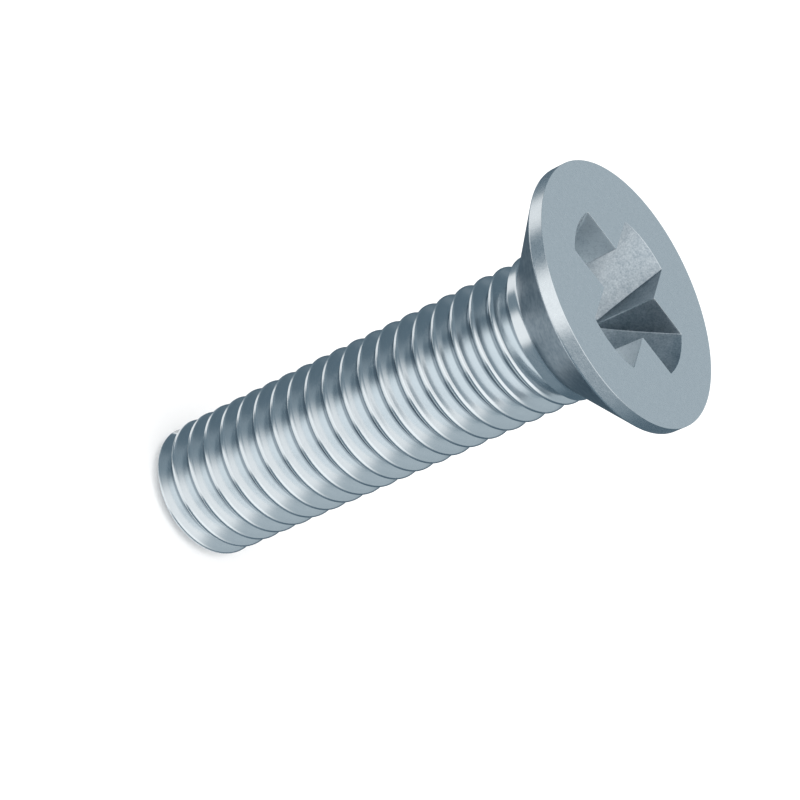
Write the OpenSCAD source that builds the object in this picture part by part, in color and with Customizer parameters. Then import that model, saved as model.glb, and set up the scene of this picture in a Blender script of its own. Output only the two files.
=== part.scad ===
// Countersunk machine screw, M8 x 30, fully threaded, cross recess, one solid.
// Local frame: z runs from the head face (z = 0) to the tip, thread is right-handed.
// Part frame: stands on its flat tip end on z = 0, head up, axis on the Z axis, bounding-box bottom centre at the origin.
// Units are millimetres.

/* [Head] */
// Diameter of the head face and of its cylindrical land
head_d = 14.5; // [14:0.05:15]
// Height of the cylindrical land below the head face
land_h = 0.77; // [0.4:0.01:1.2]
// Included angle of the countersunk cone, degrees
cone_angle = 90; // [88:0.5:92]
// Diameter of the plain neck between the cone and the thread
neck_d = 8.0; // [7.8:0.01:8.1]
// Distance from the head face to the end of the neck
neck_end = 4.66; // [4.3:0.02:5.2]
// Radius of the small round where the cone meets the neck
neck_fillet = 0.25; // [0.1:0.05:0.6]

/* [Thread] */
// Overall length with the head
length = 30; // [20:1:60]
// Thread pitch
pitch = 1.25; // [1:0.05:1.5]
// Diameter over the thread crests
crest_d = 7.87; // [7.76:0.01:7.97]
// Diameter at the root of the thread
root_d = 6.44; // [6.2:0.01:6.6]
// Width of the flat on the crest
crest_w = 0.2; // [0.1:0.01:0.3]
// Angle about the axis at which the crest phase is zero, degrees
thread_phase = 0; // [-180:1:180]
// Distance from the head face to a crest at the phase angle
crest_z = 6.91; // [5:0.01:8]
// Flat segments in one turn of the thread
turn_segments = 36; // [24:2:48]
// Height of the chamfer at the tip
tip_chamfer = 0.55; // [0.2:0.05:1.2]
// Radius of the flat end of the tip
tip_r = 3.2; // [2.8:0.05:3.6]

/* [Recess] */
// Diameter across the wings of the cross recess at the head face
recess_d = 9.14; // [8.5:0.02:9.6]
// Width of a wing at the head face
wing_w = 3.38; // [3:0.02:3.6]
// Slope of a wing's side wall, degrees
wing_taper = 1; // [0:0.5:8]
// Slope of the wing ends to the axis, degrees
end_slope = 30; // [20:0.5:35]
// Radius at which the wing ends turn into the bottom
core_r = 2.54; // [2:0.02:3]
// Depth of the recess
recess_depth = 5.1; // [4:0.1:5.6]
// Angle of the first wing about the axis, degrees
wing_angle = -26.7; // [-90:0.1:90]

/* [Pose] */
// Turn of the screw about its own axis as it stands, degrees; puts the recess wings along X and Y
stand_spin = 116.7; // [-180:0.1:180]

/* [Hidden] */
$fn = 96;

head_r = head_d / 2;
neck_r = neck_d / 2;
crest_r = crest_d / 2;
root_r = root_d / 2;
cone_z = land_h + (head_r - neck_r) / tan(cone_angle / 2);

// Thread profile of one pitch as [axial offset, radius]: crest flat, 60 degree flanks, rounded root
flank_h = (crest_r - root_r) * 0.93;
flank_w = flank_h * tan(30);
profile = [
    [-crest_w / 2, crest_r],
    [crest_w / 2, crest_r],
    [crest_w / 2 + flank_w, crest_r - flank_h],
    [pitch / 2, root_r],
    [pitch - crest_w / 2 - flank_w, crest_r - flank_h]
];
np = len(profile);

// First crest row starts inside the neck, the last row ends beyond the tip
row_start = crest_z - pitch * ceil((crest_z - 3.0) / pitch) - pitch;
turns = ceil((length - row_start) / pitch) + 1;
rows = np * turns;

function thread_r(k) = profile[k % np][1];
function thread_z(i, k) = row_start + pitch * i / turn_segments + pitch * floor(k / np) + profile[k % np][0];
function at(i, k) = i < turn_segments ? i * (rows + 1) + k : k + np;

thread_points = concat(
    [for (i = [0 : turn_segments - 1], k = [0 : rows])
        let (t = thread_phase + 360 * i / turn_segments)
        [thread_r(k) * cos(t), thread_r(k) * sin(t), thread_z(i, k)]],
    [[0, 0, thread_z(0, 0) + pitch / 2], [0, 0, thread_z(turn_segments - 1, rows) - pitch / 2]]
);
low_centre = turn_segments * (rows + 1);
high_centre = low_centre + 1;

low_loop = concat(
    [for (i = [0 : turn_segments - 1]) at(i, 0)],
    [for (k = [np : -1 : 1]) at(0, k)]
);
high_loop = concat(
    [for (i = [0 : turn_segments - 1]) at(i, rows)],
    [for (k = [1 : np]) at(turn_segments - 1, rows - k)]
);

thread_faces = concat(
    [for (i = [0 : turn_segments - 1], k = [0 : (i < turn_segments - 1 ? rows - 1 : rows - 1 - np)])
        each [[at(i, k), at(i, k + 1), at(i + 1, k + 1)], [at(i, k), at(i + 1, k + 1), at(i + 1, k)]]],
    [for (j = [0 : len(low_loop) - 1]) [low_centre, low_loop[j], low_loop[(j + 1) % len(low_loop)]]],
    [for (j = [0 : len(high_loop) - 1]) [high_centre, high_loop[(j + 1) % len(high_loop)], high_loop[j]]]
);

// Helical thread, cut square inside the neck and chamfered at the tip
module thread() {
    intersection() {
        polyhedron(points = thread_points, faces = thread_faces, convexity = 20);
        rotate_extrude()
            polygon([
                [0, 3.4],
                [crest_r + 0.5, 3.4],
                [crest_r + 0.5, length - tip_chamfer],
                [crest_r + 0.02, length - tip_chamfer],
                [tip_r, length],
                [0, length]
            ]);
    }
}

// Flat head face, short land, countersunk cone and plain neck
module head() {
    rotate_extrude()
        polygon([
            [0, 0],
            [head_r, 0],
            [head_r, land_h],
            [neck_r + neck_fillet * 0.7, cone_z - neck_fillet * 0.7 / tan(cone_angle / 2)],
            [neck_r + neck_fillet * 0.15, cone_z + neck_fillet * 0.05],
            [neck_r, cone_z + neck_fillet * 0.6],
            [neck_r, neck_end],
            [0, neck_end]
        ]);
}

// One straight pair of recess wings, narrower with depth
module wing_pair() {
    top = 1;
    half = wing_w / 2;
    rotate([90, 0, 0])
        translate([0, 0, -recess_d])
            linear_extrude(height = 2 * recess_d)
                polygon([
                    [-half - top * tan(wing_taper), -top],
                    [half + top * tan(wing_taper), -top],
                    [half - recess_depth * tan(wing_taper), recess_depth],
                    [-half + recess_depth * tan(wing_taper), recess_depth]
                ]);
}

// Cross recess: two crossed pairs of wings inside a cone with a blunt bottom
module recess() {
    slope = tan(end_slope);
    core_z = (recess_d / 2 - core_r) / slope;
    intersection() {
        rotate_extrude()
            polygon([
                [0, -0.5],
                [recess_d / 2 + 0.5 * slope, -0.5],
                [core_r, core_z],
                [0.5, recess_depth],
                [0, recess_depth]
            ]);
        rotate([0, 0, wing_angle])
            union() {
                wing_pair();
                rotate([0, 0, 90]) wing_pair();
            }
    }
}

// The screw in its own frame, head face at z = 0
module screw_solid() {
    difference() {
        union() {
            head();
            thread();
        }
        recess();
    }
}

// The screw as it stands, turned over so that its head is up
module screw() {
    color([0.66, 0.71, 0.75])
        translate([0, 0, length])
            rotate([180, 0, 0])
                rotate([0, 0, stand_spin])
                    screw_solid();
}

screw();
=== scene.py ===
"""Countersunk machine screw in blue-passivated zinc, standing on its flat end on a white floor.

The screw is one closed mesh. It is made of rings of points that run from the bottom of the
cross recess over the head, the cone and the neck, down the thread and over the flat end.
All sizes of the screw are in millimetres in its own frame, where z runs along the axis from
the head face (z = 0) to the end. Placement turns that frame over and puts it into the part's
frame, in metres.
"""

import logging
import math
from abc import ABC, abstractmethod
from dataclasses import dataclass
from enum import Enum
from typing import Any, Sequence

import bpy
import numpy as np
from mathutils import Matrix, Vector


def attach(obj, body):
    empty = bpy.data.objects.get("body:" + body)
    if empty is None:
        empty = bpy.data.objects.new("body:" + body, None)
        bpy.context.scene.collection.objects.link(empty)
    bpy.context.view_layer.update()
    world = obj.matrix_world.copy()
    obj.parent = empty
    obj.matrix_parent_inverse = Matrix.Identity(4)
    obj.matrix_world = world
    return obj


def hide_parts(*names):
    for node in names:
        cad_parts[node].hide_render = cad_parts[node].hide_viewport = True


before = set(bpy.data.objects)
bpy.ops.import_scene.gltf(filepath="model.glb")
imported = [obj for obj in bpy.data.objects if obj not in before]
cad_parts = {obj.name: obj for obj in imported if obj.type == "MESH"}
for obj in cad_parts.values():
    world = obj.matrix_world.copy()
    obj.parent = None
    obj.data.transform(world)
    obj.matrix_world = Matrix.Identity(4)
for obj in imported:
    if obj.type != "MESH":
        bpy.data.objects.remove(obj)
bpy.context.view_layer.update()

LOG = logging.getLogger("screw_scene")
MM = 0.001
# Points that agree to this distance in metres are welded
WELD = MM * 1e-4
# Distance of a support point from the end of a round, in mm, and its largest share of a straight
SUPPORT = 0.03
SUPPORT_SHARE = 0.3


@dataclass(frozen=True)
class Placement:
    """How the screw's own frame lies in the part's frame.

    The screw is turned about its axis by spin_deg, turned over about X so that its head is up,
    and lifted by its length, so that its flat end stands on z = 0.
    """

    length: float = 30.0
    spin_deg: float = 116.7

    def turn(self) -> np.ndarray:
        """Rotation from the screw's own frame to the part's frame, as a 3 by 3 array."""
        spin = math.radians(self.spin_deg)
        about_axis = np.array(
            [
                [math.cos(spin), -math.sin(spin), 0.0],
                [math.sin(spin), math.cos(spin), 0.0],
                [0.0, 0.0, 1.0],
            ]
        )
        return np.diag([1.0, -1.0, -1.0]) @ about_axis

    def points(self, own: np.ndarray) -> np.ndarray:
        """Points in the part's frame in metres.

        Args:
            own: points in the screw's own frame in mm, three numbers each.

        Returns:
            The same points in the part's frame, in metres.
        """
        lifted = np.asarray(own, float) @ self.turn().T + np.array([0.0, 0.0, self.length])
        return lifted * MM

    def direction(self, own: Sequence[float]) -> Vector:
        """A unit vector of the screw's own frame in the part's frame."""
        return Vector(self.turn() @ np.asarray(own, float)).normalized()


@dataclass(frozen=True)
class Corner:
    """A corner of a profile: its place, and the radius and the steps of the round on it."""

    along: float
    radius: float
    round_mm: float = 0.0
    steps: int = 3


def rounded_profile(corners: Sequence[Corner], fill: Sequence[int]) -> np.ndarray:
    """A polyline through corners, with each corner rounded and its round held by support points.

    The round of radius q on a corner that turns by t starts and ends q * tan(t / 2) from the
    corner. Its points lie on the circle through both, q away from the centre, which is on the
    corner's bisector. A support point follows each end of a round at the distance SUPPORT, so
    that smooth shading bends only there. Each straight has fill points spread evenly inside it.

    Args:
        corners: the corners in order; the first and the last aren't rounded.
        fill: for each straight, the number of points inside it.

    Returns:
        An array of points, (along, radius) each.
    """
    spots = np.array([[c.along, c.radius] for c in corners])
    arcs = [spots[:1]]
    for before, corner, after, item in zip(spots[:-2], spots[1:-1], spots[2:], corners[1:-1]):
        inward = (before - corner) / np.linalg.norm(before - corner)
        onward = (after - corner) / np.linalg.norm(after - corner)
        if item.round_mm <= 0.0:
            arcs.append(corner[None])
            continue
        turn = math.pi - math.acos(float(np.clip(inward @ onward, -1.0, 1.0)))
        reach = item.round_mm * math.tan(turn / 2.0)
        bisector = inward + onward
        centre = corner + bisector / np.linalg.norm(bisector) * (
            item.round_mm / math.cos(turn / 2.0)
        )
        start = corner + inward * reach - centre
        stop = corner + onward * reach - centre
        share = np.linspace(0.0, 1.0, item.steps + 1)[:, None]
        arcs.append(
            centre
            + (start * np.sin((1.0 - share) * turn) + stop * np.sin(share * turn)) / math.sin(turn)
        )
    arcs.append(spots[-1:])
    line = [arcs[0]]
    for count, one, two in zip(fill, arcs[:-1], arcs[1:]):
        start, stop = one[-1], two[0]
        run = np.linalg.norm(stop - start)
        edge = min(SUPPORT / run, SUPPORT_SHARE)
        inner = np.linspace(edge, 1.0 - edge, count + 2)
        first = 0 if len(one) > 1 else 1
        last = len(inner) if len(two) > 1 else -1
        line.append(start + (stop - start) * inner[first:last, None])
        line.append(two)
    return np.concatenate(line)


def level_ring(flat: np.ndarray, z: float) -> np.ndarray:
    """A ring of points (x, y) laid at the depth z, as (x, y, z)."""
    return np.column_stack([flat, np.full(len(flat), z)])


@dataclass(frozen=True)
class Thread:
    """The rolled thread: a helical grid whose rows follow the helix and end at two planes.

    Attributes:
        start, end: depths of the two planes below the head face.
        crest_z: depth of a crest at azimuth 0.
        crest_w: width of the flat on the crest.
        flank_deg: angle of a flank to the radius.
        chamfer, tip_r: height of the chamfer at the end and the radius that it leaves.
        clear: how far the chamfer's cone stands outside the crests at its top.
        blend: width of the soft join between thread and chamfer.
        reach, band, weld_share: see held.
    """

    start: float = 4.66
    end: float = 30.0
    pitch: float = 1.25
    crest_d: float = 7.87
    root_d: float = 6.58
    crest_w: float = 0.2
    crest_z: float = 6.91
    flank_deg: float = 36.0
    crest_round: float = 0.19
    root_round: float = 0.06
    chamfer: float = 0.55
    tip_r: float = 3.2
    clear: float = 0.02
    blend: float = 0.02
    band: float = 0.03
    reach: float = 0.4
    weld_share: float = 0.05

    def half_profile(self) -> np.ndarray:
        """Half a pitch from the middle of the crest to the middle of the root, (offset, radius)."""
        crest, root = self.crest_d / 2.0, self.root_d / 2.0
        foot = self.crest_w / 2.0 + (crest - root) * math.tan(math.radians(self.flank_deg))
        corners = [
            Corner(0.0, crest),
            Corner(self.crest_w / 2.0, crest, self.crest_round, 4),
            Corner(foot, root, self.root_round, 3),
            Corner(self.pitch / 2.0, root),
        ]
        return rounded_profile(corners, (0, 0, 0))

    def profile(self) -> np.ndarray:
        """One whole pitch, starting at the middle of a crest and without its last point."""
        half = self.half_profile()
        back = half[::-1][1:-1]
        mirrored = np.column_stack([self.pitch - back[:, 0], back[:, 1]])
        return np.concatenate([half, mirrored])

    def cut(self, z: np.ndarray) -> np.ndarray:
        """Radius of the chamfer's cone at z, which lets the thread out above its top."""
        top = self.crest_d / 2.0 + self.clear
        return self.tip_r + (self.end - z) * (top - self.tip_r) / self.chamfer

    def radius_at(self, offset: np.ndarray) -> np.ndarray:
        """Radius of the uncut thread at an axial offset from a crest."""
        shape = self.profile()
        along = np.append(shape[:, 0], self.pitch)
        radius = np.append(shape[:, 1], shape[0, 1])
        return np.interp(np.mod(offset, self.pitch), along, radius)

    def held(self, inside: np.ndarray) -> np.ndarray:
        """Distances of rows from an end plane, with the rows about the plane moved inside it.

        The rows between reach outside the plane and band inside it share out the band, so that
        smooth shading bends only there. Rows further outside, and those whose share is no more
        than weld_share, lie on the plane.

        Args:
            inside: distance of each row from the plane, negative outside it.

        Returns:
            The new distances, none of them negative.
        """
        share = (inside + self.reach) / (self.band + self.reach)
        near = self.band * np.where(share > self.weld_share, share, 0.0)
        return np.where(inside > self.band, inside, near)

    def grid(self, azimuth: np.ndarray) -> tuple[np.ndarray, int]:
        """The thread's rows of points.

        A row keeps its offset from the crest, and the crest climbs by a pitch a turn. Rows that
        leave the stretch between start and end are laid on its end plane, where they meet and
        are welded later. The chamfer is a soft minimum of the thread's radius and the cone's:
        half of their sum less the root of their squared difference plus the squared blend.

        Args:
            azimuth: the columns' angles in radians, one turn of them, rising.

        Returns:
            The points as (rows, columns, 3) in mm, and the number of rows in a pitch.
        """
        shape = self.profile()
        first = math.floor((self.start - self.crest_z) / self.pitch) - 2
        last = math.ceil((self.end - self.crest_z) / self.pitch) + 1
        turns = np.arange(first, last)
        offset = (turns[:, None] * self.pitch + shape[None, :, 0]).ravel()
        climb = self.crest_z + self.pitch * azimuth / (2.0 * math.pi)
        z = offset[:, None] + climb[None, :]
        z = self.start + self.held(z - self.start)
        z = self.end - self.held(self.end - z)
        uncut = self.radius_at(z - climb)
        limit = self.cut(z)
        soft = (uncut + limit - np.sqrt((uncut - limit) ** 2 + self.blend**2)) / 2.0
        radius = np.where(z > self.end - 2.0 * self.chamfer, soft, uncut)
        around = np.broadcast_to(azimuth, radius.shape)
        points = np.stack([radius * np.cos(around), radius * np.sin(around), z], axis=-1)
        return points, len(shape)


@dataclass(frozen=True)
class Recess:
    """The cross recess: four wings with nearly upright sides, sloping ends and a blunt bottom.

    Attributes:
        across: diameter across the wings at the head face.
        wing_w: width of a wing at the head face.
        core_r: radius at which the sloping ends turn into the bottom.
        wing_deg: azimuth of the first wing.
        outer_round, inner_round, rim_round: radii of the wing's outer corner, of the corner
            between two wings, and of the round on the rim.
        least_round: smallest radius left of the inner corner where the cross grows.
        ledge: width of the flat ring round the rim.
        END_SHARES, SIDE_SHARES: where the points of a wing's end and of its side lie.
        BOTTOM_SHARES, WALL_SHARES: where the rings of the bottom and of the walls lie.
    """

    END_SHARES = (0.0, 0.33, 0.66, 0.97)
    SIDE_SHARES = (0.015, 0.14, 0.38, 0.62, 0.86, 0.985)
    BOTTOM_SHARES = (0.15, 0.4, 0.7, 0.9, 0.97, 1.0)
    WALL_SHARES = (0.02, 0.15, 0.4, 0.65, 0.85, 0.97)

    across: float = 9.14
    wing_w: float = 3.38
    wing_taper_deg: float = 1.0
    end_slope_deg: float = 30.0
    core_r: float = 2.54
    depth: float = 5.1
    bottom_r: float = 0.5
    wing_deg: float = -26.7
    outer_round: float = 0.07
    inner_round: float = 0.06
    rim_round: float = 0.006
    least_round: float = 0.004
    ledge: float = 0.02

    @property
    def wall_depth(self) -> float:
        """Depth at which the sloping ends turn into the bottom."""
        return (self.across / 2.0 - self.core_r) / math.tan(math.radians(self.end_slope_deg))

    def outline(self, depth: float, grow: float) -> np.ndarray:
        """The cross at a depth, as a closed row of points about the axis.

        Half a wing runs along the end arc, round the outer corner, along the straight side and
        round half of the inner corner. The other half is its mirror image at 45 degrees, and the
        four quarters are turned copies. Growing the cross adds the same distance to the end arc,
        to the sides and to the outer round, and takes it from the inner round.

        Args:
            depth: depth below the head face, in mm.
            grow: distance by which the cross is wider than at that depth, in mm.

        Returns:
            Points (x, y) in mm, the first on the axis of the first wing.
        """
        half = self.wing_w / 2.0 - depth * math.tan(math.radians(self.wing_taper_deg)) + grow
        reach = self.across / 2.0 - depth * math.tan(math.radians(self.end_slope_deg)) + grow
        outer = self.outer_round + grow
        inner = max(self.inner_round - grow, self.least_round)
        knee_y = half - outer
        knee_x = math.sqrt((reach - outer) ** 2 - knee_y**2)
        swing = math.atan2(knee_y, knee_x)
        end = swing * np.array(self.END_SHARES)
        bend = np.linspace(swing, math.pi / 2.0, 4)
        straight = knee_x + (half + inner - knee_x) * np.array(self.SIDE_SHARES)
        turn = -math.pi / 2.0 - np.linspace(0.0, math.pi / 4.0, 5)
        x = np.concatenate(
            [
                reach * np.cos(end),
                knee_x + outer * np.cos(bend),
                straight,
                half + inner + inner * np.cos(turn),
            ]
        )
        y = np.concatenate(
            [
                reach * np.sin(end),
                knee_y + outer * np.sin(bend),
                np.full(len(straight), half),
                half + inner + inner * np.sin(turn),
            ]
        )
        eighth = np.column_stack([x, y])
        mirrored = eighth[::-1, ::-1][1:-1]
        piece = np.concatenate([eighth, mirrored])
        turned = []
        for step in range(4):
            angle = math.radians(self.wing_deg) + step * math.pi / 2.0
            c, s = math.cos(angle), math.sin(angle)
            turned.append(piece @ np.array([[c, s], [-s, c]]))
        return np.concatenate(turned)

    def columns(self) -> int:
        """Number of points in one outline."""
        return len(self.outline(0.0, 0.0))

    def azimuth(self) -> np.ndarray:
        """As many even angles in radians as an outline has points, starting on the first wing."""
        count = self.columns()
        return math.radians(self.wing_deg) + 2.0 * math.pi * np.arange(count) / count

    def rows(self) -> np.ndarray:
        """The rings of the recess from its bottom up to the round on its rim, as (rows, columns, 3).

        The bottom is a straight blend from the cross at the walls' foot to a small circle.
        """
        around = self.azimuth()
        foot = self.outline(self.wall_depth, 0.0)
        small = self.bottom_r * np.column_stack([np.cos(around), np.sin(around)])
        rings = []
        for share in (0.0, 0.5, 1.0):
            rings.append(level_ring(small * share, self.depth))
        for share in self.BOTTOM_SHARES:
            z = self.depth + (self.wall_depth - self.depth) * share
            rings.append(level_ring(small + (foot - small) * share, z))
        for share in self.WALL_SHARES:
            z = self.wall_depth + (2.0 * self.rim_round - self.wall_depth) * share
            rings.append(level_ring(self.outline(z, 0.0), z))
        for angle in np.linspace(0.0, math.pi / 2.0, 4):
            z = self.rim_round * (1.0 - math.sin(angle))
            grow = self.rim_round * (1.0 - math.cos(angle))
            rings.append(level_ring(self.outline(z, grow), z))
        rings.append(level_ring(self.outline(0.0, self.rim_round + self.ledge), 0.0))
        return np.array(rings)


@dataclass(frozen=True)
class Head:
    """The flat head: face, land, countersunk cone, fillet and plain neck, turned about the axis.

    Attributes:
        cone_deg: included angle of the cone.
        neck_end: depth of the end of the neck below the face.
        fillet: radius of the round between cone and neck.
        face_round, land_round, neck_round: radii of the rounds on the face's edge, between land
            and cone, and on the end of the neck.
        joint_r: radius on the end of the neck at which the turned outline stops.
        edge_inset: width of the outer ring of the face.
        FACE_SHARES: where the rings of the face lie, from the rim of the recess to that ring.
        JOINT_SHARES: where the rings between the outline's stop and the thread lie.
        FILL: points inside each straight of the turned outline.
    """

    FACE_SHARES = (0.08, 0.25, 0.45, 0.65, 0.82, 0.94, 1.0)
    JOINT_SHARES = (0.5, 0.92, 1.0)
    FILL = (0, 1, 5, 1, 0)

    head_d: float = 14.5
    land_h: float = 0.77
    cone_deg: float = 90.0
    neck_d: float = 8.0
    neck_end: float = 4.66
    fillet: float = 0.35
    face_round: float = 0.012
    land_round: float = 0.12
    neck_round: float = 0.04
    joint_r: float = 3.94
    edge_inset: float = 0.25

    @property
    def edge_r(self) -> float:
        """Radius on the face at which the turned outline starts, in mm."""
        return self.head_d / 2.0 - self.edge_inset

    def profile(self) -> np.ndarray:
        """The turned outline from the outer ring of the face to the end of the neck.

        Returns:
            Points (z, radius) in mm.
        """
        head_r, neck_r = self.head_d / 2.0, self.neck_d / 2.0
        cone_z = self.land_h + (head_r - neck_r) / math.tan(math.radians(self.cone_deg / 2.0))
        corners = [
            Corner(0.0, self.edge_r),
            Corner(0.0, head_r, self.face_round, 4),
            Corner(self.land_h, head_r, self.land_round, 3),
            Corner(cone_z, neck_r, self.fillet, 4),
            Corner(self.neck_end, neck_r, self.neck_round, 3),
            Corner(self.neck_end, self.joint_r),
        ]
        return rounded_profile(corners, self.FILL)


class Screw:
    """The whole screw as one mesh object."""

    END_RADII = (3.1, 2.4, 1.4, 0.5, 0.0)

    def __init__(self, placement: Placement) -> None:
        """Takes the placement of the screw's own frame."""
        self.placement = placement
        self.head = Head()
        self.recess = Recess()
        self.thread = Thread()
        self.azimuth = self.recess.azimuth()
        self.ring = np.column_stack([np.cos(self.azimuth), np.sin(self.azimuth)])

    def head_rows(self) -> np.ndarray:
        """The rings from the bottom of the recess to the start of the thread.

        On the flat face the rings blend from the cross to a circle, point by point along straight
        lines. From there on each ring is a circle of the turned profile. The last ring is where
        the thread's first ring lies.
        """
        rows = list(self.recess.rows())
        rim = rows[-1][:, :2]
        for share in self.head.FACE_SHARES:
            rows.append(level_ring(rim + (self.ring * self.head.edge_r - rim) * share, 0.0))
        for z, radius in self.head.profile()[1:]:
            rows.append(level_ring(self.ring * radius, z))
        start = self.thread.grid(self.azimuth)[0][0]
        outer = rows[-1]
        for share in self.head.JOINT_SHARES:
            rows.append(outer + (start - outer) * share)
        return np.array(rows)

    def end_rows(self) -> np.ndarray:
        """The rings of the flat end, from its rim to its centre."""
        rows = [self.thread.grid(self.azimuth)[0][-1]]
        for radius in self.END_RADII:
            rows.append(level_ring(self.ring * radius, self.thread.end))
        return np.array(rows)

    def build(self) -> bpy.types.Object:
        """Builds the mesh, welds its seams and returns its object."""
        thread, per_pitch = self.thread.grid(self.azimuth)
        points: list[np.ndarray] = []
        faces: list[np.ndarray] = []
        count = 0
        for rows, shift in ((self.head_rows(), 0), (thread, per_pitch), (self.end_rows(), 0)):
            points.append(rows.reshape(-1, 3))
            faces.append(grid_faces(rows.shape[0], rows.shape[1], shift) + count)
            count += rows.shape[0] * rows.shape[1]
        own = np.concatenate(points)
        return mesh_object("screw_zinc", self.placement.points(own), np.concatenate(faces))


def grid_faces(rows: int, columns: int, shift: int) -> np.ndarray:
    """Quads of a grid that closes on itself across its last column.

    Row r of the last column meets row r + shift of the first, so a shift of one pitch makes a
    helix. Corners go along the row, up and back, which points outwards where z grows with the
    rows and the angle with the columns.

    Args:
        rows: number of rows.
        columns: number of columns.
        shift: rows by which the seam climbs.

    Returns:
        An array of four point numbers a quad.
    """
    row, column = np.meshgrid(np.arange(rows - 1), np.arange(columns), indexing="ij")
    closing = column == columns - 1
    far_row = row + np.where(closing, shift, 0)
    far_column = np.where(closing, 0, column + 1)
    keep = far_row + 1 < rows
    here = row * columns + column
    there = far_row * columns + far_column
    quads = np.stack([here, there, there + columns, here + columns], axis=-1)
    return quads[keep]


def mesh_object(name: str, points: np.ndarray, quads: np.ndarray) -> bpy.types.Object:
    """A smooth-shaded mesh object from points and quads, with points that coincide welded.

    Args:
        name: name of the object and its mesh.
        points: points in metres.
        quads: four point numbers a face.

    Returns:
        The new object, linked to the scene.
    """
    grid = np.round(points / WELD).astype(np.int64)
    unique, index, inverse = np.unique(grid, axis=0, return_index=True, return_inverse=True)
    corners = inverse.ravel()[quads]
    same = corners == np.roll(corners, -1, axis=1)
    sides = 4 - same.sum(axis=1)
    corners, same = corners[sides >= 3], same[sides >= 3]
    loops = corners[~same]
    totals = (~same).sum(axis=1)
    starts = np.concatenate([[0], np.cumsum(totals)[:-1]])
    mesh = bpy.data.meshes.new(name)
    mesh.vertices.add(len(unique))
    mesh.vertices.foreach_set("co", points[index].astype(np.float32).ravel())
    mesh.loops.add(len(loops))
    mesh.loops.foreach_set("vertex_index", loops.astype(np.int32))
    mesh.polygons.add(len(totals))
    mesh.polygons.foreach_set("loop_start", starts.astype(np.int32))
    mesh.polygons.foreach_set("use_smooth", np.ones(len(totals), bool))
    mesh.update(calc_edges=True)
    mesh.validate(verbose=False)
    made = bpy.data.objects.new(name, mesh)
    bpy.context.scene.collection.objects.link(made)
    LOG.info("%s: %d points, %d faces", name, len(mesh.vertices), len(mesh.polygons))
    return made


class Wire:
    """A shader socket that can be used in sums, with numbers on either side."""

    def __init__(self, shop: "Shop", socket: Any) -> None:
        """Keeps the node tree's helper and the socket."""
        self.shop = shop
        self.socket = socket

    def _math(self, operation: str, *values: Any) -> "Wire":
        """A Math node of the given operation on this and other values."""
        return self.shop.node("ShaderNodeMath", {"operation": operation}, dict(enumerate(values)))

    def __add__(self, other: Any) -> "Wire":
        """Sum."""
        return self._math("ADD", self, other)

    def __radd__(self, other: Any) -> "Wire":
        """Sum with a number on the left."""
        return self._math("ADD", other, self)

    def __sub__(self, other: Any) -> "Wire":
        """Difference."""
        return self._math("SUBTRACT", self, other)

    def __rsub__(self, other: Any) -> "Wire":
        """Difference with a number on the left."""
        return self._math("SUBTRACT", other, self)

    def __mul__(self, other: Any) -> "Wire":
        """Product."""
        return self._math("MULTIPLY", self, other)

    def __rmul__(self, other: Any) -> "Wire":
        """Product with a number on the left."""
        return self._math("MULTIPLY", other, self)

    def __truediv__(self, other: Any) -> "Wire":
        """Quotient."""
        return self._math("DIVIDE", self, other)

    def maximum(self, other: Any) -> "Wire":
        """The larger of two values."""
        return self._math("MAXIMUM", self, other)

    def hypot(self, other: "Wire") -> "Wire":
        """Root of the sum of both squares."""
        return self._math("SQRT", self * self + other * other)

    def degrees(self, inverse: str) -> "Wire":
        """The angle in degrees whose sine or cosine this is.

        Args:
            inverse: ARCSINE or ARCCOSINE.
        """
        return self._math(inverse, self) * math.degrees(1.0)

    def step(self, low: float, high: float) -> "Wire":
        """A smooth rise from 0 at low to 1 at high, or a fall where low is the larger."""
        return self.shop.node(
            "ShaderNodeMapRange",
            {"interpolation_type": "SMOOTHSTEP"},
            {"Value": self, "From Min": low, "From Max": high},
        )

    def out(self, name: str) -> "Wire":
        """Another output of the node that this socket belongs to."""
        return Wire(self.shop, self.socket.node.outputs[name])


class Shop:
    """Builds the nodes of one node tree.

    A Mix node has sockets of the same names for each type of value, so MIX_LOW and MIX_HIGH are
    the numbers of its two colour inputs, and MIX_RESULT that of its colour output.
    """

    MIX_LOW = 6
    MIX_HIGH = 7
    MIX_RESULT = 2

    def __init__(self, tree: Any) -> None:
        """Empties the node tree."""
        self.tree = tree
        tree.nodes.clear()

    def node(
        self, kind: str, settings: dict[str, Any], inputs: dict[Any, Any], output: Any = 0
    ) -> Wire:
        """Adds a node.

        Args:
            kind: type name of the node.
            settings: attributes that are set before the sockets.
            inputs: socket name or number to a Wire, or to a plain value.
            output: name or number of the output socket to give back.

        Returns:
            The output as a Wire.
        """
        made = self.tree.nodes.new(kind)
        for name, value in settings.items():
            setattr(made, name, value)
        for name, value in inputs.items():
            if isinstance(value, Wire):
                self.tree.links.new(value.socket, made.inputs[name])
            else:
                made.inputs[name].default_value = value
        return Wire(self, made.outputs[output]) if len(made.outputs) else Wire(self, None)

    def place(self, scale: float = 1.0) -> Wire:
        """The Object coordinates, times scale, as a vector."""
        spot = self.node("ShaderNodeTexCoord", {}, {}, "Object")
        return self.node("ShaderNodeVectorMath", {"operation": "SCALE"}, {0: spot, "Scale": scale})

    def blend(self, label: str, share: Any, low: Any, high: Any) -> Wire:
        """The colour low where share is 0 and high where it is 1, by a node with the label."""
        return self.node(
            "ShaderNodeMix",
            {"data_type": "RGBA", "label": label},
            {0: share, self.MIX_LOW: low, self.MIX_HIGH: high},
            self.MIX_RESULT,
        )


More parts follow.
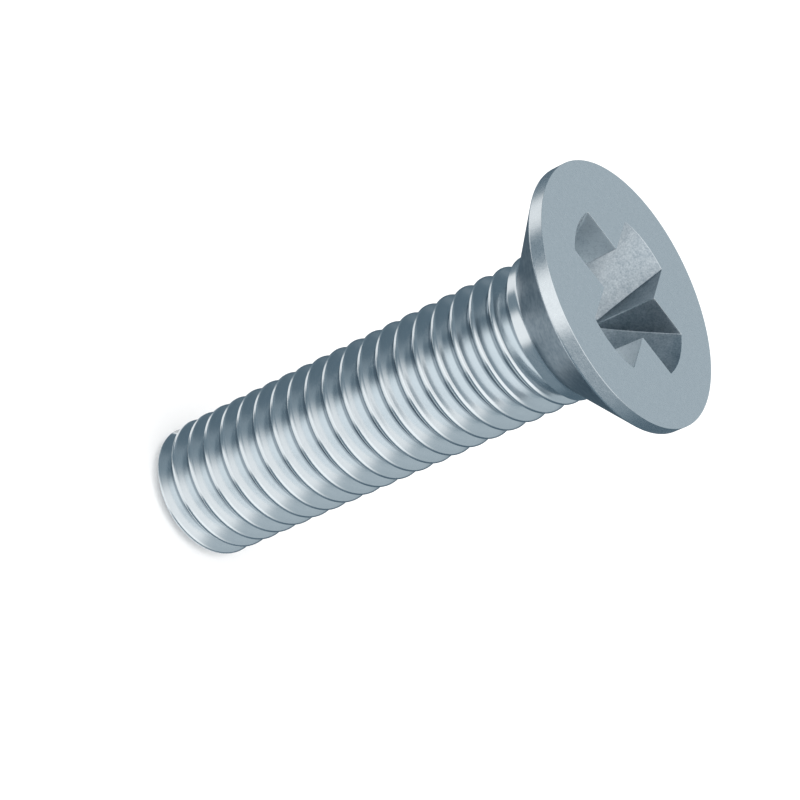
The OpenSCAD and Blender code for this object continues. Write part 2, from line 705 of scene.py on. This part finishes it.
class Ray(Enum):
    """The rays that a sheet of the studio can be seen by."""

    CAMERA = "visible_camera"
    DIFFUSE = "visible_diffuse"
    GLOSSY = "visible_glossy"
    TRANSMISSION = "visible_transmission"
    VOLUME = "visible_volume_scatter"
    SHADOW = "visible_shadow"


@dataclass(frozen=True)
class Patch:
    """A patch of brightness with soft edges.

    Azimuths are in degrees. The height is an angle in degrees on the dome, and the distance from
    the screw's axis in mm on the floor. A bound beyond the sheet has no edge there. The level is
    a brightness, where 1 is the white of the background. The feather is the width of the soft
    edges in azimuth and in height.
    """

    name: str
    azimuth: tuple[float, float]
    height: tuple[float, float]
    level: float
    feather: tuple[float, float] = (10.0, 8.0)

    def mask(self, x: Wire, y: Wire, height: Wire) -> Wire:
        """1 inside the patch and 0 outside it.

        The angle to the patch's middle azimuth c is the arc cosine of x cos(c) + y sin(c), with
        x and y over their root sum of squares. Both windows fall smoothly over their feather.
        """
        middle = math.radians(sum(self.azimuth) / 2.0)
        half = (self.azimuth[1] - self.azimuth[0]) / 2.0
        soft = self.feather[0] / 2.0
        low, high = self.height
        rise = self.feather[1] / 2.0
        share = height.step(low - rise, low + rise) * height.step(high + rise, high - rise)
        if half >= 180.0:
            return share
        lean = (x * math.cos(middle) + y * math.sin(middle)) / x.hypot(y)
        return share * lean.degrees("ARCCOSINE").step(half + soft, half - soft)


@dataclass(frozen=True)
class Sheet(ABC):
    """A glowing sheet of the studio, no lamp, that only the screw's reflections see: painted
    reflections of soft boxes and dark cards, in soft patches of light and shade.

    RED_POWER and BLUE_POWER set how the red and the blue follow a brightness below 1.
    """

    RED_POWER = 0.21
    BLUE_POWER = -0.122

    name: str
    base: float
    patches: tuple[Patch, ...]

    @abstractmethod
    def grid(self) -> np.ndarray:
        """The points of the sheet in metres, (rows, columns, 3)."""

    @abstractmethod
    def height(self, shop: Shop) -> Wire:
        """The height that the patches are given in."""

    def tone(self, level: float) -> tuple[float, float, float, float]:
        """The colour of a brightness: neutral at 1, and the bluer the darker it is.

        Args:
            level: brightness, where 1 is the white of the background.
        """
        shade = min(level, 1.0)
        return (level * shade**self.RED_POWER, level, level * shade**self.BLUE_POWER, 1.0)

    def build(self) -> None:
        """Makes the sheet and paints its patches, each over the earlier ones."""
        made = plain_mesh(self.name, *grid_quads(self.grid()))
        paint = bpy.data.materials.new(self.name)
        paint.use_nodes = True
        shop = Shop(paint.node_tree)
        split = shop.node("ShaderNodeSeparateXYZ", {}, {0: shop.place()})
        height = self.height(shop)
        colour: Any = self.tone(self.base)
        for patch in self.patches:
            share = patch.mask(split.out("X"), split.out("Y"), height)
            colour = shop.blend(patch.name, share, colour, self.tone(patch.level))
        # The sheet glows with its painted light and shade; it is no lamp
        light = shop.node("ShaderNodeEmission", {}, {"Color": colour, "Strength": 1.0})
        shop.node("ShaderNodeOutputMaterial", {}, {"Surface": light})
        paint.cycles.emission_sampling = "NONE"
        made.data.materials.append(paint)
        for ray in Ray:
            setattr(made, ray.value, ray is Ray.GLOSSY)


@dataclass(frozen=True)
class Dome(Sheet):
    """A half sphere about the screw, glowing with painted reflections of lights and cards."""

    radius: float = 0.6
    rows: int = 31
    columns: int = 97

    def grid(self) -> np.ndarray:
        """Radius times the unit vector of each azimuth and height angle."""
        a = np.radians(np.linspace(-180.0, 180.0, self.columns))[None, :]
        h = np.radians(np.linspace(0.0, 90.0, self.rows))[:, None]
        x, y = np.cos(h) * np.cos(a), np.cos(h) * np.sin(a)
        return self.radius * np.stack([x, y, np.sin(h) + 0.0 * a], axis=-1)

    def height(self, shop: Shop) -> Wire:
        """The height angle: the arc sine of z over the radius."""
        z = shop.node("ShaderNodeSeparateXYZ", {}, {0: shop.place(1.0 / self.radius)}, "Z")
        return z.degrees("ARCSINE")


@dataclass(frozen=True)
class Ground(Sheet):
    """A disc a hair above the floor, open round the screw's end: the floor as reflections see
    it, a painted reflection, white in some patches and dark in others.
    """

    inner: float = 0.0045
    outer: float = 0.6
    lift: float = 0.00005
    rows: int = 25
    columns: int = 97

    def grid(self) -> np.ndarray:
        """Each distance times the unit vector of each azimuth."""
        a = np.radians(np.linspace(-180.0, 180.0, self.columns))[None, :]
        r = np.geomspace(self.inner, self.outer, self.rows)[:, None]
        return np.stack([r * np.cos(a), r * np.sin(a), self.lift + 0.0 * r * a], axis=-1)

    def height(self, shop: Shop) -> Wire:
        """The distance from the axis in mm."""
        split = shop.node("ShaderNodeSeparateXYZ", {}, {0: shop.place(1.0 / MM)})
        return split.out("X").hypot(split.out("Y"))


@dataclass(frozen=True)
class Floor:
    """A plain white floor that is lit by the studio and keeps the screw's shadow.

    Its size and its drop below the screw's end are in metres.
    """

    size: float = 4.0
    drop: float = 0.00002
    colour: tuple[float, float, float, float] = (0.86, 0.86, 0.86, 1.0)
    glow: float = 0.16

    def material(self) -> bpy.types.Material:
        """A matt white with a small glow for camera, glossy and transmission rays."""
        made = bpy.data.materials.new("floor_white")
        made.use_nodes = True
        shop = Shop(made.node_tree)
        path = shop.node("ShaderNodeLightPath", {}, {}, "Is Camera Ray")
        seen = path.maximum(path.out("Is Glossy Ray")).maximum(path.out("Is Transmission Ray"))
        matt = shop.node("ShaderNodeBsdfDiffuse", {}, {"Color": self.colour})
        light = shop.node("ShaderNodeEmission", {}, {"Strength": seen * self.glow})
        both = shop.node("ShaderNodeAddShader", {}, {0: matt, 1: light})
        shop.node("ShaderNodeOutputMaterial", {}, {"Surface": both})
        return made

    def build(self) -> None:
        """Makes the floor as one square a hair below the screw's end."""
        half = self.size / 2.0
        corners = np.array([[-half, -half], [half, -half], [half, half], [-half, half]])
        points = np.column_stack([corners, np.full(4, -self.drop)])
        made = plain_mesh("floor", points, np.array([[0, 1, 2, 3]]))
        made.data.materials.append(self.material())


def grid_quads(grid: np.ndarray) -> tuple[np.ndarray, np.ndarray]:
    """The points of an open grid as one list, and its quads.

    Args:
        grid: points as (rows, columns, 3).

    Returns:
        The points as (rows times columns, 3), and four point numbers a quad.
    """
    rows, columns = grid.shape[:2]
    row, column = np.meshgrid(np.arange(rows - 1), np.arange(columns - 1), indexing="ij")
    here = (row * columns + column).ravel()
    quads = np.stack([here, here + 1, here + columns + 1, here + columns], axis=-1)
    return grid.reshape(-1, 3), quads


def plain_mesh(name: str, points: np.ndarray, quads: np.ndarray) -> bpy.types.Object:
    """A mesh object for the studio from points in metres and quads."""
    mesh = bpy.data.meshes.new(name)
    mesh.from_pydata(points.tolist(), [], quads.tolist())
    mesh.update()
    made = bpy.data.objects.new(name, mesh)
    bpy.context.scene.collection.objects.link(made)
    return made


@dataclass(frozen=True)
class Lamp:
    """A rectangular soft box that looks at the screw and that reflections don't see.

    The azimuth and the height are the angles in degrees at which the target sees it. Lengths
    are in metres.
    """

    name: str
    azimuth: float
    height: float
    distance: float
    size: tuple[float, float]
    glow: float
    target: tuple[float, float, float] = (0.0, 0.0, 0.015)

    def build(self) -> None:
        """Makes an area lamp whose surface has the brightness glow.

        The power of a rectangle of brightness L and area A is pi * L * A.
        """
        data = bpy.data.lights.new(self.name, "AREA")
        data.shape = "RECTANGLE"
        data.size, data.size_y = self.size
        data.energy = math.pi * self.glow * self.size[0] * self.size[1]
        made = bpy.data.objects.new(self.name, data)
        made.visible_glossy = False
        a, h = math.radians(self.azimuth), math.radians(self.height)
        way = Vector((math.cos(h) * math.cos(a), math.cos(h) * math.sin(a), math.sin(h)))
        target = Vector(self.target)
        made.location = target + way * self.distance
        made.rotation_euler = way.to_track_quat("Z", "Y").to_euler()
        bpy.context.scene.collection.objects.link(made)


@dataclass(frozen=True)
class Zone:
    """What a zone of the screw adds to the finish.

    Attributes:
        tone: to the share of the light colour.
        grain, blotch, speck: to the strength of the three noises in the tone.
        rough: to the roughness.
        uneven: to the strength of grain and blotches in the roughness.
        relief: to their strength in the bump.
    """

    tone: float = 0.0
    grain: float = 0.0
    blotch: float = 0.0
    speck: float = 0.0
    rough: float = 0.0
    uneven: float = 0.0
    relief: float = 0.0


@dataclass(frozen=True)
class Finish:
    """Blue-passivated zinc on steel: a satin metal with a fine grain.

    The recess and the cone have no shine from a die or a roll, so they are rougher and
    blotched. Their tones hold painted light: painted shade darkens the countersunk cone, the
    recess's far walls and the thread's root, and a small painted lift lightens the recess's
    near side and the flanks. PLAIN holds for the whole screw, and ZONES adds to it.

    Attributes:
        GRAIN, BLOTCH, SPECK: blotches to the millimetre and finer layers of the three noises.
        RECESS_TOP, HEAD_END, CONE_TOP, CONE_END, THREAD_TOP: depths in mm at which the edge of
            a zone starts, where its mask is 0, and at which it is full.
        FLANK_TOP, ROOT_TOP: the same for radii on the thread.
        RECESS_SIDE: the same for the radius plus RECESS_LEAN times the depth.
        FAR_SIDE: the same for x + y in the recess, along which the far walls' painted shade grows.
        bump, bump_distance: strength of the bump, and its height in metres.
    """

    PLAIN = Zone(tone=0.88, grain=0.06, blotch=0.06, rough=0.2, relief=0.15)
    ZONES = {
        "head": Zone(grain=0.13, blotch=0.09, rough=0.06, uneven=0.06, relief=0.27),
        # recess: grain, blotches and specks are the finish's own; its tone lift is painted light on
        # the recess's near side
        "recess": Zone(tone=0.07, grain=0.2, blotch=0.22, speck=0.38, rough=0.1, relief=0.3),
        # far walls of the recess: painted shade, darker towards positive x and y
        "far_wall_shade": Zone(tone=-0.53),
        # cone: its tone drop is painted shade on the cone under the head; its grain and blotches are
        # the finish's own
        "cone": Zone(tone=-0.76, grain=0.2, blotch=0.4, rough=0.08),
        # flank: a small painted lift of the tone below the crests, painted light
        "flank": Zone(tone=0.05),
        # root: painted shade in the groove of the thread
        "root": Zone(tone=-0.72),
    }
    GRAIN = (7.0, 2.0)
    BLOTCH = (2.6, 3.0)
    SPECK = (13.0, 0.0)
    NOISE_ROUGHNESS = 0.55
    RECESS_TOP = (0.004, 0.03)
    RECESS_SIDE = (6.0, 5.8)
    RECESS_LEAN = 0.8
    FAR_SIDE = (-1.0, 4.8)
    HEAD_END = (4.1, 3.6)
    CONE_TOP = (0.8, 0.95)
    CONE_END = (4.05, 3.85)
    THREAD_TOP = (4.7, 4.8)
    FLANK_TOP = (3.8, 3.6)
    ROOT_TOP = (3.4, 3.28)

    dark: tuple[float, float, float, float] = (0.125, 0.185, 0.235, 1.0)
    light: tuple[float, float, float, float] = (0.747, 0.8, 0.83, 1.0)
    length: float = 30.0
    bump: float = 0.3
    bump_distance: float = 0.00002

    def masks(self, place: Wire) -> dict[str, Wire]:
        """Where each zone is, 1 inside it and 0 outside it, with soft edges.

        Depths are taken from the head face and radii from the axis, in mm. The recess is what
        lies below the face and nearer to the axis than a cone that runs between its walls and
        the head's. Its mask carries the recess's own grain and specks and a small painted lift
        of its tone. Its far walls are those towards positive x and y, and their mask, which
        carries painted shade, grows along x + y. The cone lies between the land and the neck,
        and its mask carries painted shade. On the thread, the flanks lie below the crests and
        their mask carries a small painted lift; the root is the innermost strip, and its mask
        carries painted shade.

        Args:
            place: the point in the part's frame, in mm.

        Returns:
            The masks by the names in ZONES.
        """
        split = place.shop.node("ShaderNodeSeparateXYZ", {}, {0: place})
        x, y = split, split.out("Y")
        depth = self.length - split.out("Z")
        radius = x.hypot(y)
        inside = (radius + self.RECESS_LEAN * depth).step(*self.RECESS_SIDE)
        recess = depth.step(*self.RECESS_TOP) * inside
        cone = depth.step(*self.CONE_TOP) * depth.step(*self.CONE_END)
        thread = depth.step(*self.THREAD_TOP)
        return {
            "head": depth.step(*self.HEAD_END),
            # The recess's own grain and specks, and a small painted lift of its tone
            "recess": recess,
            # Painted shade: the recess's far walls darker along x + y
            "far_wall_shade": recess * (x + y).step(*self.FAR_SIDE),
            # Painted shade: the cone under the head is darkened
            "cone": cone * (1.0 - recess),
            # Painted light: a small lift of the flanks' tone
            "flank": thread * radius.step(*self.FLANK_TOP),
            # Painted shade in the thread's root
            "root": thread * radius.step(*self.ROOT_TOP),
        }

    def total(self, masks: dict[str, Wire], part: str) -> Any:
        """One attribute of Zone summed up: that of PLAIN, and each zone's times its mask."""
        whole = getattr(self.PLAIN, part)
        for name, zone in self.ZONES.items():
            share = getattr(zone, part)
            if share:
                whole = whole + share * masks[name]
        return whole

    def build(self) -> bpy.types.Material:
        """The material. Its tone runs from the dark colour at 0 to the light colour at 1."""
        made = bpy.data.materials.new("blue_zinc")
        made.use_nodes = True
        shop = Shop(made.node_tree)
        place = shop.place(1.0 / MM)
        masks = self.masks(place)
        grain = self.noise(place, *self.GRAIN)
        blotch = self.noise(place, *self.BLOTCH)
        speck = self.noise(place, *self.SPECK)
        tone = self.total(masks, "tone")
        tone = tone + grain * self.total(masks, "grain")
        tone = tone + blotch * self.total(masks, "blotch")
        tone = tone + speck * self.total(masks, "speck")
        rough = self.total(masks, "rough") + (grain + blotch) * self.total(masks, "uneven")
        bump = shop.node(
            "ShaderNodeBump",
            {},
            {
                "Height": (grain + blotch) * self.total(masks, "relief"),
                "Strength": self.bump,
                "Distance": self.bump_distance,
            },
            "Normal",
        )
        metal = shop.node(
            "ShaderNodeBsdfPrincipled",
            {},
            {
                "Base Color": shop.blend("tone", tone, self.dark, self.light),
                "Metallic": 1.0,
                "Roughness": rough,
                "Normal": bump,
            },
        )
        shop.node("ShaderNodeOutputMaterial", {}, {"Surface": metal})
        return made

    def noise(self, place: Wire, scale: float, detail: float) -> Wire:
        """Noise about 0.

        Args:
            place: the coordinates in mm.
            scale: blotches to the millimetre.
            detail: number of finer layers.
        """
        sockets = {"Scale": scale, "Detail": detail, "Roughness": self.NOISE_ROUGHNESS}
        settings = {"noise_dimensions": "3D"}
        return place.shop.node("ShaderNodeTexNoise", settings, {"Vector": place, **sockets}) - 0.5


@dataclass(frozen=True)
class View:
    """The camera of the photograph, placed in the screw's own frame in mm.

    The lens and the sensor are in mm too, and the clipping distances are in metres.
    """

    place: tuple[float, float, float] = (100.1624, 0.0, -49.3091)
    aim: tuple[float, float, float] = (0.0028, -0.0036, 15.0339)
    up: tuple[float, float, float] = (-0.22851865, 0.90633104, -0.35544798)
    lens: float = 99.958
    sensor: float = 36.0
    clip: tuple[float, float] = (0.005, 5.0)

    def build(self, placement: Placement) -> None:
        """Makes the camera and gives it to the scene."""
        data = bpy.data.cameras.new("camera")
        data.sensor_width = self.sensor
        data.lens = self.lens
        data.clip_start, data.clip_end = self.clip
        made = bpy.data.objects.new("camera", data)
        bpy.context.scene.collection.objects.link(made)
        forward = placement.direction(np.array(self.aim) - np.array(self.place))
        right = forward.cross(placement.direction(self.up)).normalized()
        up = right.cross(forward)
        turn = Matrix((right, up, -forward)).transposed().to_4x4()
        made.matrix_world = Matrix.Translation(Vector(placement.points(self.place))) @ turn
        bpy.context.scene.camera = made


class Studio:
    """World, floor, lamps, painted sheets and camera."""

    # Painted reflections: bright patches stand in for soft boxes, dark ones for black cards
    DOME = Dome(
        "reflected_dome",
        0.54,
        (
            Patch("side_grey", (140.0, 215.0), (-90.0, 64.0), 0.3, (20.0, 10.0)),
            Patch("side_dark", (92.0, 140.0), (-90.0, 64.0), 0.18, (24.0, 10.0)),
            Patch("camera_side", (-164.0, -35.0), (-90.0, 64.0), 1.02, (40.0, 16.0)),
            Patch("front_box", (-100.0, -42.0), (14.0, 54.0), 1.26, (24.0, 16.0)),
            Patch("back_low", (20.0, 205.0), (-90.0, 10.0), 0.2, (30.0, 10.0)),
            Patch("back_right_high", (-50.0, 20.0), (54.0, 100.0), 1.04, (30.0, 12.0)),
            Patch("overhead", (-180.0, 180.0), (59.5, 100.0), 1.07, (0.0, 15.0)),
            Patch("front_low", (-160.0, -40.0), (-90.0, 8.0), 1.35, (40.0, 12.0)),
        ),
    )
    # Painted reflection of the floor, white in some sectors and dark in others
    GROUND = Ground(
        "reflected_floor",
        0.26,
        (
            Patch("front_white", (-160.0, -112.0), (-10.0, 900.0), 1.1, (14.0, 1.0)),
            Patch("left_white", (133.0, 166.0), (-10.0, 900.0), 1.05, (12.0, 1.0)),
            Patch("back_dark", (-20.0, 112.0), (-10.0, 900.0), 0.16, (30.0, 1.0)),
            Patch("far_front_low", (-160.0, -40.0), (85.0, 900.0), 1.35, (40.0, 40.0)),
        ),
    )
    LAMPS = (
        Lamp("overhead_box", -90.0, 89.0, 0.5, (0.4, 0.4), 1.3),
        Lamp("front_box", -85.0, 62.0, 0.5, (0.6, 0.14), 1.9),
    )

    def __init__(self, placement: Placement) -> None:
        """Takes the placement of the screw's own frame."""
        self.placement = placement

    def build(self) -> None:
        """Makes the world, the floor, the lamps, the sheets and the camera."""
        self.world()
        Floor().build()
        for lamp in self.LAMPS:
            lamp.build()
        self.DOME.build()
        self.GROUND.build()
        View().build(self.placement)

    def world(self) -> None:
        """A plain white world of strength 1."""
        world = bpy.data.worlds.new("studio")
        bpy.context.scene.world = world
        world.use_nodes = True
        shop = Shop(world.node_tree)
        sky = shop.node("ShaderNodeBackground", {}, {"Color": (1.0, 1.0, 1.0, 1.0), "Strength": 1.0})
        shop.node("ShaderNodeOutputWorld", {}, {"Surface": sky})


def main() -> None:
    """Builds the screw and its studio."""
    logging.basicConfig(level=logging.INFO, format="%(name)s: %(message)s")
    placement = Placement()
    Studio(placement).build()
    screw = Screw(placement).build()
    screw.data.materials.append(Finish().build())
    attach(screw, "root")
    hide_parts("screw")
    bpy.context.scene.view_settings.view_transform = "Standard"


if __name__ == "__main__":
    main()
